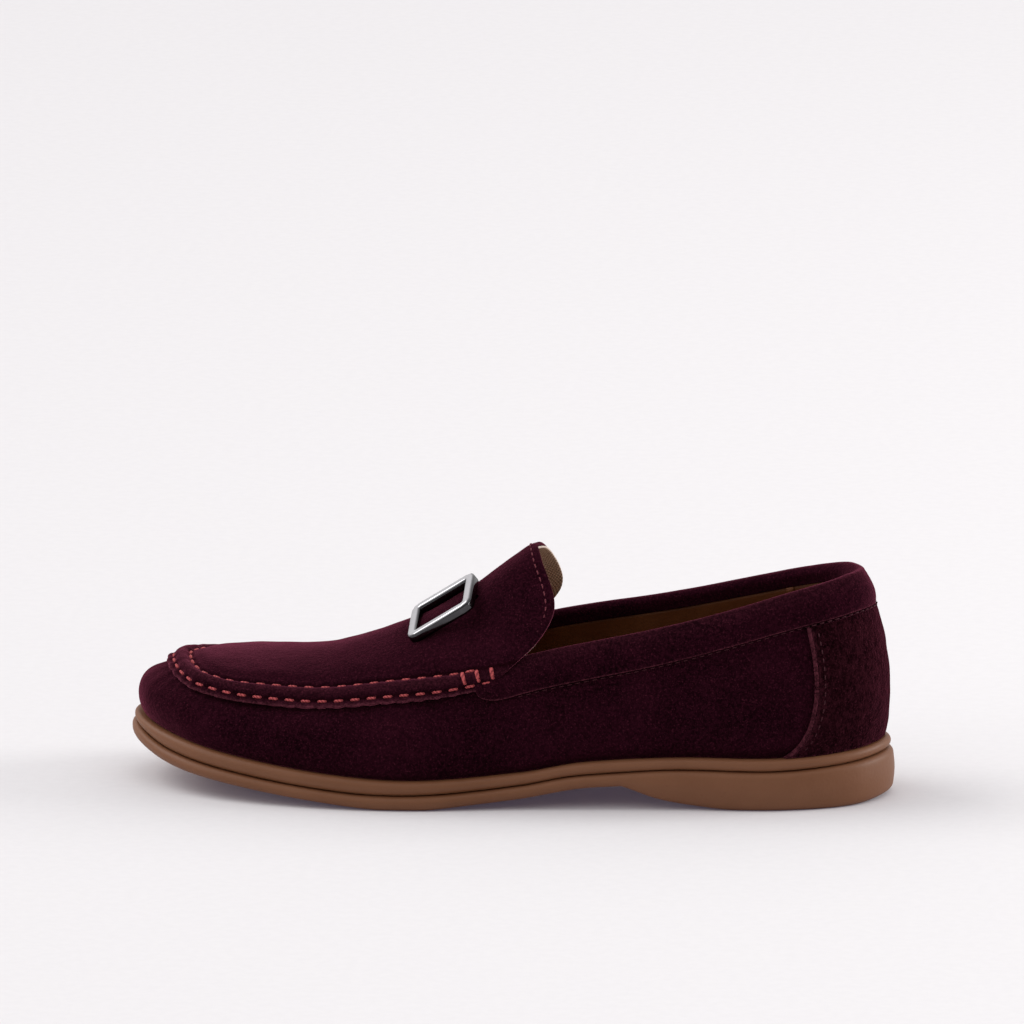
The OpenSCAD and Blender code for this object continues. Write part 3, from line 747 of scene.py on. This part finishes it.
# The deep mark paints shade along the foot of the wall, where it meets the sole.
bm = bmesh.new()
wall_shares = np.concatenate([[-TUCK, -TUCK / 2], np.linspace(0, 1, 49)])
lay_sheet(bm, np.linspace(0, STATIONS, 721), wall_shares, wall_place,
          {"deep": lambda u, t: 0.8 * hump(np.maximum(t, 0), 0.0, 0.05)})
weld(bm)
settle(bm, "suede_side_wall", suede, ["side_wall"], thickness=SUEDE)

# %% [markdown]
# The apron covers the toes and the instep and runs up into the tongue. At the toe its ribs
# spread like a fan from one point, and behind the fan they cross the foot. The columns of the
# grid are packed closely near the edge, where the seam needs them. The raw edge of the suede is
# ragged and paler than its face, so a mark on the vertices tells the finish where to go paler.

# %% Apron
FINE_SHARE, FINE_DISTANCE = 0.55, 13.0


def apron_lay(u, v):
    """Angle and distance from the edge of a column v of the apron's grid, 0 at the edge."""
    distance = np.minimum(v / FINE_SHARE, 1) * FINE_DISTANCE
    start = angle_in(u, FINE_DISTANCE)
    coarse = start * (1 - (v - FINE_SHARE) / (1 - FINE_SHARE))
    phi = np.where(v <= FINE_SHARE, angle_in(u, distance), coarse)
    return phi, np.where(v <= FINE_SHARE, distance, FINE_DISTANCE + (start - phi) * 0.6)


def apron_place(u, v):
    phi, distance = apron_lay(u, v)
    plain = apron_at(u, phi, THREAD_OUT)
    ragged = np.maximum(distance + 0.3 * hills(plain, 1.1, 3.0) * hump(distance, 0.0, 0.5), 0.0)
    edge = apron_at(u, angle_in(u, ragged), THREAD_OUT)
    plain = np.where((v == 0)[..., None], edge, plain)
    soft = 0.5 * hills(plain, 22.0) + 0.15 * hills(plain, 7.0, 5.0)
    lift = apron_relief(u, distance) + soft * np.clip(distance / 6, 0, 1)
    return plain + apron_normal(u, phi) * lift[..., None]


# The raw cut edge is paler, and the top of the ridge between the rows is a little paler too.
def apron_pale(u, v):
    distance = apron_lay(u, v)[1]
    ridge = 0.2 * hump(distance, 0.5 * (OUTER_ROW + INNER_ROW), 2.0)
    return np.clip(hump(distance, 0.0, 0.9) + ridge, 0, 1)


# Painted shade in the sunk lines of the two rows of stitches.
def apron_deep(u, v):
    distance = apron_lay(u, v)[1]
    return np.clip(hump(distance, INNER_ROW, 1.1) + 0.8 * hump(distance, OUTER_ROW, 0.8), 0, 1)


bm = bmesh.new()
lay_sheet(bm, np.linspace(-END_STATION, END_STATION, 641), np.linspace(0, 1, 91), apron_place,
          {"pale": apron_pale, "deep": apron_deep})
weld(bm)
settle(bm, "suede_apron", suede, ["apron"], thickness=SUEDE, rim=cut_suede)

# %% [markdown]
# The collar is a folded strip of suede over a thin roll of foam. It hangs down outside as a
# slightly padded band, turns over the top edge, and reaches a few millimetres down inside. Its
# section is one smooth path, swept round the opening. Its front corners are rounded and slip
# under the apron's edge.

# %% Collar band
BAND_HEIGHT, CORNER_RUN = 12.0, 0.26
band_section = np.array([(1.15, 12), (1.5, 11.3), (2.0, 9.5), (2.2, 7), (1.9, 3.5), (1.2, 0), (0.2, -1.4),
                         (-1.2, -1.9), (-2.8, -1.6), (-4.0, -0.4), (-4.45, 1.4), (-4.5, 4.2)])


def path_at(points, s):
    """Point of a smooth open curve through points, at a share s of it."""
    spot = np.clip(s, 0, 1) * (len(points) - 1)
    k = np.minimum(spot.astype(int), len(points) - 2)
    t = (spot - k)[..., None]
    a, b, c, d = (points[np.clip(k + step, 0, len(points) - 1)] for step in (-1, 0, 1, 2))
    return b + ((c - a) * t + (2 * a - 5 * b + 4 * c - d) * t ** 2 + (3 * b - a - 3 * c + d) * t ** 3) / 2


def depth_near_ends(u, depth):
    way = np.clip((np.minimum(u, STATIONS - u) - COLLAR_STATION) / CORNER_RUN, 0, 1)
    return np.where(depth < 5, depth, mix(5, depth, np.sqrt(way * (2 - way))))


def band_place(u, s):
    section = path_at(band_section, s)
    depth = depth_near_ends(u, section[..., 1])
    spots = wall_at(u, np.minimum(share_below(u, depth), 1), section[..., 0])
    spots[..., 2] += np.maximum(-depth, 0)
    lift = 0.3 * hills(spots, 16.0, 2.0) + 0.12 * hills(spots, 6.0, 4.0)
    return spots + wall_normal(u, share_below(u, np.maximum(depth, 1.0))) * (lift * (s < 0.98))[..., None]


corner = COLLAR_STATION + CORNER_RUN * (1 - np.cos(np.linspace(0, np.pi / 2, 14)))
between = np.linspace(corner[-1], STATIONS - corner[-1], 420)[1:-1]
band_stations = np.concatenate([corner, between, STATIONS - corner[::-1]])
# The pale mark paints a highlight along the band's lower edge, and makes it a little paler where it turns
# over the top.
bm = bmesh.new()
lay_sheet(bm, band_stations, np.linspace(0, 1, 61), band_place,
          {"pale": lambda u, s: 1.0 * hump(s, 0.02, 0.035) + 0.15 * hump(s, 0.5, 0.12)})
settle(bm, "suede_collar_band", suede, ["collar_band"], thickness=0.95, rim=cut_suede)

# %% [markdown]
# A patch of rougher suede covers the heel counter, and a raised binding runs down its front
# edges. The patch is a sheet on the side wall. The binding is a tube: a grid whose columns go
# round and whose rows go along a path, closed at its ends.

# %% Counter patch and binding
PATCH_STATION, PATCH_BOW = 7.08, 0.39


def patch_station(s):
    """Station of the patch's front edge, which bows towards the heel as it rises."""
    return PATCH_STATION + PATCH_BOW * np.sin(np.radians(126 * s ** 0.6))


def patch_spot(k, s):
    """Station and share of the wall for k from -1 to 1 round the heel and s from 0 to 1 upwards."""
    half = STATIONS / 2
    u = half + k * (half - patch_station(s))
    return u, mix(0.01, share_below(u, BAND_HEIGHT + 1), s)


def patch_place(k, s):
    u, t = patch_spot(k, s)
    plain = wall_at(u, t, GAP + 1.2)
    raised = 0.35 * np.clip((np.abs(k) - 0.9) / 0.1, 0, 1)
    lift = 0.4 * hills(plain, 18.0) + 0.22 * hills(plain, 5.0, 3.0) + raised
    return plain + wall_normal(u, t) * lift[..., None]


def lay_tube(bm, points, radii, around=8, squeeze=1.0, marks=None):
    """Adds a closed tube along points in mm. It is as thick as radii say, and flatter by squeeze."""
    run = unit(np.gradient(points, axis=0))
    side = unit(np.cross(run, np.array([0.013, 0.021, 1.0])))
    up = np.cross(side, run)

    def place(angle, i):
        i = i.astype(int)
        ring = side[i] * np.cos(angle)[..., None] + up[i] * np.sin(angle)[..., None] * squeeze
        return points[i] + ring * radii[i][..., None]

    lay_sheet(bm, np.linspace(0, 2 * np.pi, around + 1), np.arange(len(points)), place, marks)


bm = bmesh.new()
lay_sheet(bm, np.linspace(-1, 1, 241), np.linspace(0, 1, 81), patch_place,
          {"pale": lambda k, s: 0.2 * np.clip((np.abs(k) - 0.97) / 0.03, 0, 1)})
settle(bm, "suede_counter_patch", rough_suede, ["counter_patch"], thickness=1.15,
       rim=cut_suede)


def round_ends(s, size, sharpness):
    return size * np.sqrt(np.clip(1 - np.abs(2 * s - 1) ** sharpness, 0, 1))


def binding_path(side, s):
    u = STATIONS / 2 + side * (STATIONS / 2 - patch_station(s) + 0.035)
    share = mix(0.01, share_below(u, BAND_HEIGHT + 0.6), s)
    plain = wall_at(u, share, 1.1)
    return plain + wall_normal(u, share) * (0.3 * hills(plain, 1.8))[..., None]


# The pale mark on the whole binding is a painted highlight, for the light that its ridge catches.
bm = bmesh.new()
way = np.linspace(0, 1, 121)
for side in (-1, 1):
    lay_tube(bm, binding_path(side, way), round_ends(way, 0.8, 60), 12,
             marks={"pale": lambda a, i: np.full(a.shape, 0.8)})
weld(bm, outwards=True)
settle(bm, "suede_counter_binding", rough_suede, ["counter_ridge"])

# %% [markdown]
# Inside, tan leather lines the back half of the shoe and woven cloth the front. The linings are
# sheets on the same surfaces, moved inwards. Two narrow strips cover the joins of the leather.
# Under the tongue the cloth shows, so its cut edge gets a pale finish.

# %% Linings
LINING_OUT, LINING_DEPTH, LINING_FOOT = -3.2, 4.4, 0.05
SEAM_STATIONS, SEAM_FOOT = (7.05, 10.95), 0.18
TONGUE_START = 4.05


def lining_place(u, s):
    plain = wall_at(u, mix(LINING_FOOT, 1.0, s) * share_below(u, LINING_DEPTH), LINING_OUT)
    return plain + wall_normal(u, 0.5) * (0.25 * hills(plain, 15.0, 6.0))[..., None]


bm = bmesh.new()
lay_sheet(bm, np.linspace(TONGUE_START, STATIONS - TONGUE_START, 301), np.linspace(0, 1, 41), lining_place)
settle(bm, "leather_quarter_lining", lining_leather, ["quarter_lining"], thickness=1.0)


def seam_place(middle):
    def place(k, s):
        u = middle + 0.04 * k
        share = mix(SEAM_FOOT, 1.0, s) * share_below(u, LINING_DEPTH)
        lining = wall_at(u, share, LINING_OUT)
        lift = 0.25 * hills(lining, 15.0, 6.0) + 0.25 * np.abs(k) ** 4
        return wall_at(u, share, LINING_OUT - 1.1) + wall_normal(u, 0.5) * lift[..., None]
    return place


bm = bmesh.new()
for middle in SEAM_STATIONS:
    lay_sheet(bm, np.linspace(-1, 1, 9), np.linspace(0, 1, 31), seam_place(middle))
settle(bm, "leather_lining_seams", lining_leather, ["lining_seams"], thickness=0.6)


def tongue_place(w, angle):
    """The cloth under the apron's end. On the inner side its cut edge stands out a little."""
    w = w + 0.03 * np.clip((8 - angle) / 20, 0, 1)
    u = np.where(angle < 0, -w, w)
    plain = apron_at(u, np.abs(angle), -GAP)
    return raised(plain, 0.1 * hills(plain, 5.0, 8.0))


bm = bmesh.new()
lay_sheet(bm, np.linspace(TONGUE_START, END_STATION - 0.01, 61), np.linspace(77, -77, 91), tongue_place)
settle(bm, "cloth_tongue_lining", tongue_cloth, ["tongue_lining"], thickness=0.8,
       rim=cream_edge)


VAMP_SHARE = 0.35


def vamp_place(u, v):
    """The cloth inside the vamp: up the side wall first, and then along the apron's ribs."""
    rise = np.clip(v / VAMP_SHARE, 0, 1)
    phi = 88 * (1 - np.clip((v - VAMP_SHARE) / (1 - VAMP_SHARE), 0, 1))
    side = wall_at(u, mix(0.05, 0.97, rise) * lip_share(u), -SUEDE - 1.2)
    return np.where((v < VAMP_SHARE)[..., None], side, apron_at(u, phi, -SUEDE - 1.2))


bm = bmesh.new()
lay_sheet(bm, np.linspace(-4.0, 4.0, 161), np.linspace(0, 1, 61), vamp_place)
weld(bm)
settle(bm, "cloth_vamp_lining", vamp_cloth, ["vamp_lining"], thickness=0.8)

# %% [markdown]
# The sock is the leather that the foot stands on. It lies on the board at the front and on a
# foam pad under the heel, with a soft step between them. Rungs across the outline make its
# surface, in the same way as the sole's.

# %% Sock
SOCK_POINTS = 240
sock_edge = outline(np.linspace(0, STATIONS, SOCK_POINTS + 1), WELT_OVERHANG + 3.6)


def sock_place(i, w):
    i = i.astype(int)
    plan = mix(sock_edge[i], sock_edge[SOCK_POINTS - i], w[..., None])
    step = np.clip((plan[..., 0] / HALF_LENGTH - 0.3) / 0.1, 0, 1)
    z = welt_z(plan[..., 0]) + mix(4.0, 7.0, step * step * (3 - 2 * step)) + 1.0
    return np.concatenate([plan, z[..., None]], -1)


bm = bmesh.new()
lay_sheet(bm, np.arange(1, SOCK_POINTS // 2), np.linspace(0, 1, 31), sock_place)
settle(bm, "leather_sock", sock_leather, ["sock"], thickness=1.0)

# %% [markdown]
# The ornament is a plain metal frame with cut corners. One square face is enough to start from:
# its corners are cut with a vertex bevel, an inset makes the bars, the inner face is taken out,
# and an extrusion gives the frame its depth. A bevel along the edges rounds them, and the vertices
# near the top are marked for the painted reflection. The frame then leans as the instep does.

# %% Ornament
FRAME_LENGTH, FRAME_WIDTH = 30.0, 25.0
BAR_WIDTH, BAR_HEIGHT, CORNER_CUT, EDGE_ROUND = 4.2, 4.2, 3.8, 1.35
ornament_place = Matrix.Translation((-24, -12, 68.6))
for degrees, axis in ((-36, "Y"), (14, "X"), (-10, "Z")):
    ornament_place = ornament_place @ Matrix.Rotation(math.radians(degrees), 4, axis)
bm = bmesh.new()
bmesh.ops.create_grid(bm, x_segments=1, y_segments=1, size=0.5)
bmesh.ops.scale(bm, vec=(FRAME_LENGTH, FRAME_WIDTH, 1), verts=bm.verts)
bmesh.ops.bevel(bm, geom=bm.verts[:], offset=CORNER_CUT, offset_type="OFFSET", segments=2, profile=0.5,
                affect="VERTICES", material=-1)
bars = bmesh.ops.inset_region(bm, faces=bm.faces[:], thickness=BAR_WIDTH, use_boundary=True,
                              use_even_offset=True)["faces"]
inner_faces = [face for face in bm.faces if face not in bars]
bmesh.ops.delete(bm, geom=inner_faces, context="FACES")
extruded = bmesh.ops.extrude_face_region(bm, geom=bm.faces[:])["geom"]
bmesh.ops.translate(bm, vec=(0, 0, BAR_HEIGHT),
                    verts=[item for item in extruded if isinstance(item, bmesh.types.BMVert)])
bmesh.ops.recalc_face_normals(bm, faces=bm.faces)
sharp = [edge for edge in bm.edges if edge.calc_face_angle(0) > 1.0]
bmesh.ops.bevel(bm, geom=sharp, offset=EDGE_ROUND, offset_type="OFFSET", segments=5, profile=0.5,
                affect="EDGES", material=-1)
# Vertices near the top get the painted reflection, a bright colour for the light that the top mirrors.
painted_lit_top = bm.verts.layers.float.new("painted_lit_top")
for vert in bm.verts:
    vert[painted_lit_top] = min(max((vert.co.z - BAR_HEIGHT + 0.35) / 0.3, 0), 1)
bmesh.ops.transform(bm, matrix=Matrix.Scale(MM, 4) @ ornament_place, verts=bm.verts)
ornament = settle(bm, "metal_ornament", polished_metal, ["ornament"])
ornament.data.set_sharp_from_angle(angle=math.radians(38))

# %% [markdown]
# Each stitch is a short thick thread that comes out of the leather, lies in its dimple, and goes
# in again. There are hundreds, so each is a tube of a few dozen faces, whose path runs along the
# row and dips at both ends.

# %% Stitches
STITCH_START, STITCH_END = 0.19, 0.81


def dive(s):
    """How deep a thread is in the leather at a share s of its stitch: 1 at both ends."""
    return np.abs(2 * s - 1) ** 3.5


def lay_stitches(bm, row, spot, diameter, dip):
    """Adds a row's stitches, where spot(u, lift) is a point lift mm above the row's own line."""
    way = np.linspace(0, 1, 9)
    numbers = np.arange(row.count)[:, None]
    lift = np.broadcast_to(-dip * dive(way), (row.count, len(way)))
    for points in spot(row.station(numbers + mix(STITCH_START, STITCH_END, way)), lift):
        lay_tube(bm, points, round_ends(way, diameter / 2, 5), squeeze=0.85)


def seam_spot(distance, height):
    def spot(u, lift):
        phi = angle_in(u, distance)
        out = apron_relief(u, distance) + height + lift
        return apron_at(u, phi, THREAD_OUT) + apron_normal(u, phi) * out[..., None]
    return spot


def sew(name, node, finish, rows):
    bm = bmesh.new()
    for row, spot, diameter, dip in rows:
        lay_stitches(bm, row, spot, diameter, dip)
    weld(bm, outwards=True)
    settle(bm, name, finish, [node])


sew("thread_outer_row", "outer_stitches", thick_thread,
    [(outer_row, seam_spot(OUTER_ROW, 0.5), THICK_THREAD, 1.1)])
sew("thread_inner_row", "inner_stitches", thick_thread,
    [(inner_row, seam_spot(INNER_ROW, 0.5), THICK_THREAD, 1.1)])


# %% [markdown]
# At each end of the apron three stitches cross the ridge from the inner row to the outer row.
# They slant a little, and follow the swelling of the ridge that they hold down.

# %% Cross stitches
CROSS_STATION, CROSS_STEP, CROSS_SLANT = 4.5, 0.1, 0.11


def cross_path(side, number, s):
    u = side * (CROSS_STATION + CROSS_STEP * number - CROSS_SLANT * (1 - s))
    distance = mix(INNER_ROW, OUTER_ROW + 0.8, s)
    phi = angle_in(u, distance)
    lift = np.maximum(apron_relief(u, distance), 0) + 0.55 - dive(s)
    return apron_at(u, phi, THREAD_OUT) + apron_normal(u, phi) * lift[..., None]


bm = bmesh.new()
way = np.linspace(0, 1, 10)
for side in (-1, 1):
    for number in range(3):
        lay_tube(bm, cross_path(side, number, way), round_ends(way, 0.8, 8), squeeze=0.85)
weld(bm, outwards=True)
settle(bm, "thread_cross_stitches", thick_thread, ["cross_stitches"])

# %% [markdown]
# Fine thread holds the edge of the tongue, the lower edge of the collar band and the counter
# patch. These rows lie on surfaces that are already there, so each needs only its own line.

# %% Fine stitches
FINE_THREAD, FINE_PITCH, FINE_DIP = 0.6, 3.2, 0.5


def tongue_spot(a, lift):
    u = np.where(a < 0, -1, 1) * (END_STATION - 0.035)
    return raised(apron_at(u, np.abs(a), THREAD_OUT), 0.15 + lift)


def collar_spot(u, lift):
    over_patch = (u > patch_station(1.0)) & (u < STATIONS - patch_station(1.0))
    return wall_at(u, share_below(u, BAND_HEIGHT + 0.5), np.where(over_patch, 1.5, 0.3) + lift)


def counter_spot(side):
    def spot(s, lift):
        u = STATIONS / 2 + side * (STATIONS / 2 - patch_station(s) - 0.07)
        return wall_at(u, mix(0.01, share_below(u, BAND_HEIGHT + 1), s), GAP + 1.5 + lift)
    return spot


def sew_fine(name, node, finish, start, end, spots):
    """Sews one fine row along each of the spots, from start to end."""
    rows = [(Row(lambda u: spot(u, 0.0), start, end, FINE_PITCH), spot, FINE_THREAD, FINE_DIP)
            for spot in spots]
    sew(name, node, finish, rows)


sew_fine("thread_tongue_row", "tongue_stitches", fine_thread, -72, 72, [tongue_spot])
sew_fine("thread_collar_row", "collar_stitches", matched_thread, COLLAR_STATION + 0.3,
         STATIONS - COLLAR_STATION - 0.3, [collar_spot])
sew_fine("thread_counter_rows", "counter_stitches", matched_thread, 0.04, 0.96,
         [counter_spot(-1), counter_spot(1)])

# %% [markdown]
# The hidden parts keep their plain shapes, because nobody sees them in the closed shoe. Each one
# still gets the finish of what it is made of.

# %% Hidden parts
hidden = {"insole_board": fibre_board, "shank": spring_steel, "filler": cork, "heel_pad": foam,
          "heel_nails": spring_steel, "ridge_cord": cotton, "toe_puff": stiffener,
          "heel_counter": stiffener, "collar_foam": foam, "ornament_posts": polished_metal,
          "ornament_washers": polished_metal}
for name, finish in hidden.items():
    for material_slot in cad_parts[name].material_slots:
        material_slot.material = finish
print("hidden parts with a finish:", len(hidden))

# %% [markdown]
# The floor and the light make a plain studio. A wide soft sun stands high on the toe's side and
# draws the shadow. Two large panels stand well back, so that they light the floor evenly: one
# fills the toe from the front, and one draws the back edge of the heel. The sky is brighter above
# than round the horizon, which keeps the sides of the shoe darker than its top.

# %% Floor and light
def paper_finish():
    f = Finish("pale_floor")
    grain = f.cloud(f.spot(), 220, 3, 0.6)
    colour = f.blend(grain.ramp(0.3, 0.7), rgb(0.700, 0.690, 0.684), rgb(0.715, 0.705, 0.699))
    # The floor also glows faintly lilac, a painted light that lifts its shadows and tints them lilac.
    return f.surface(Base_Color=colour, Roughness=0.9, Specular_IOR_Level=0.1,
                     Emission_Color=rgb(0.8, 0.66, 1.0), Emission_Strength=0.05)


bm = bmesh.new()
bmesh.ops.create_grid(bm, x_segments=2, y_segments=2, size=8)
floor_mesh = bpy.data.meshes.new("floor")
bm.to_mesh(floor_mesh)
bm.free()
floor_mesh.materials.append(paper_finish())
floor = bpy.data.objects.new("floor", floor_mesh)
bpy.context.scene.collection.objects.link(floor)

world = bpy.data.worlds.new("sky")
world.use_nodes = True
sky = Graph(world.node_tree)
heelwards, inwards, upwards = sky.parts(sky.add("ShaderNodeTexCoord"))
glow = (upwards * 0.9 + inwards * 0.35 - heelwards * 0.15).ramp(-0.15, 0.85) * 0.72 + 0.26
background = world.node_tree.nodes["Background"]
background.inputs["Color"].default_value = rgb(1.0, 0.985, 0.995)
world.node_tree.links.new(glow.socket, background.inputs["Strength"])
bpy.context.scene.world = world


shoe_middle = Vector((0, 0, 0.04))


def add_light(name, kind, place, power, size):
    """A light that looks at the shoe. A sun's size is in degrees, and a panel's in metres."""
    data = bpy.data.lights.new(name, kind)
    data.energy = power
    if kind == "SUN":
        data.angle = math.radians(size)
    else:
        data.size = size
    light = bpy.data.objects.new(name, data)
    light.location = place
    light.rotation_euler = (shoe_middle - Vector(place)).to_track_quat("-Z", "Y").to_euler()
    bpy.context.scene.collection.objects.link(light)


add_light("key", "SUN", (-1.6, 0.3, 1.7), 1.15, 40)
add_light("toe_panel", "AREA", (-2.4, -1.6, 1.1), 9.0, 1.2)
add_light("rim", "AREA", (2.6, 0.6, 0.9), 44.0, 1.2)
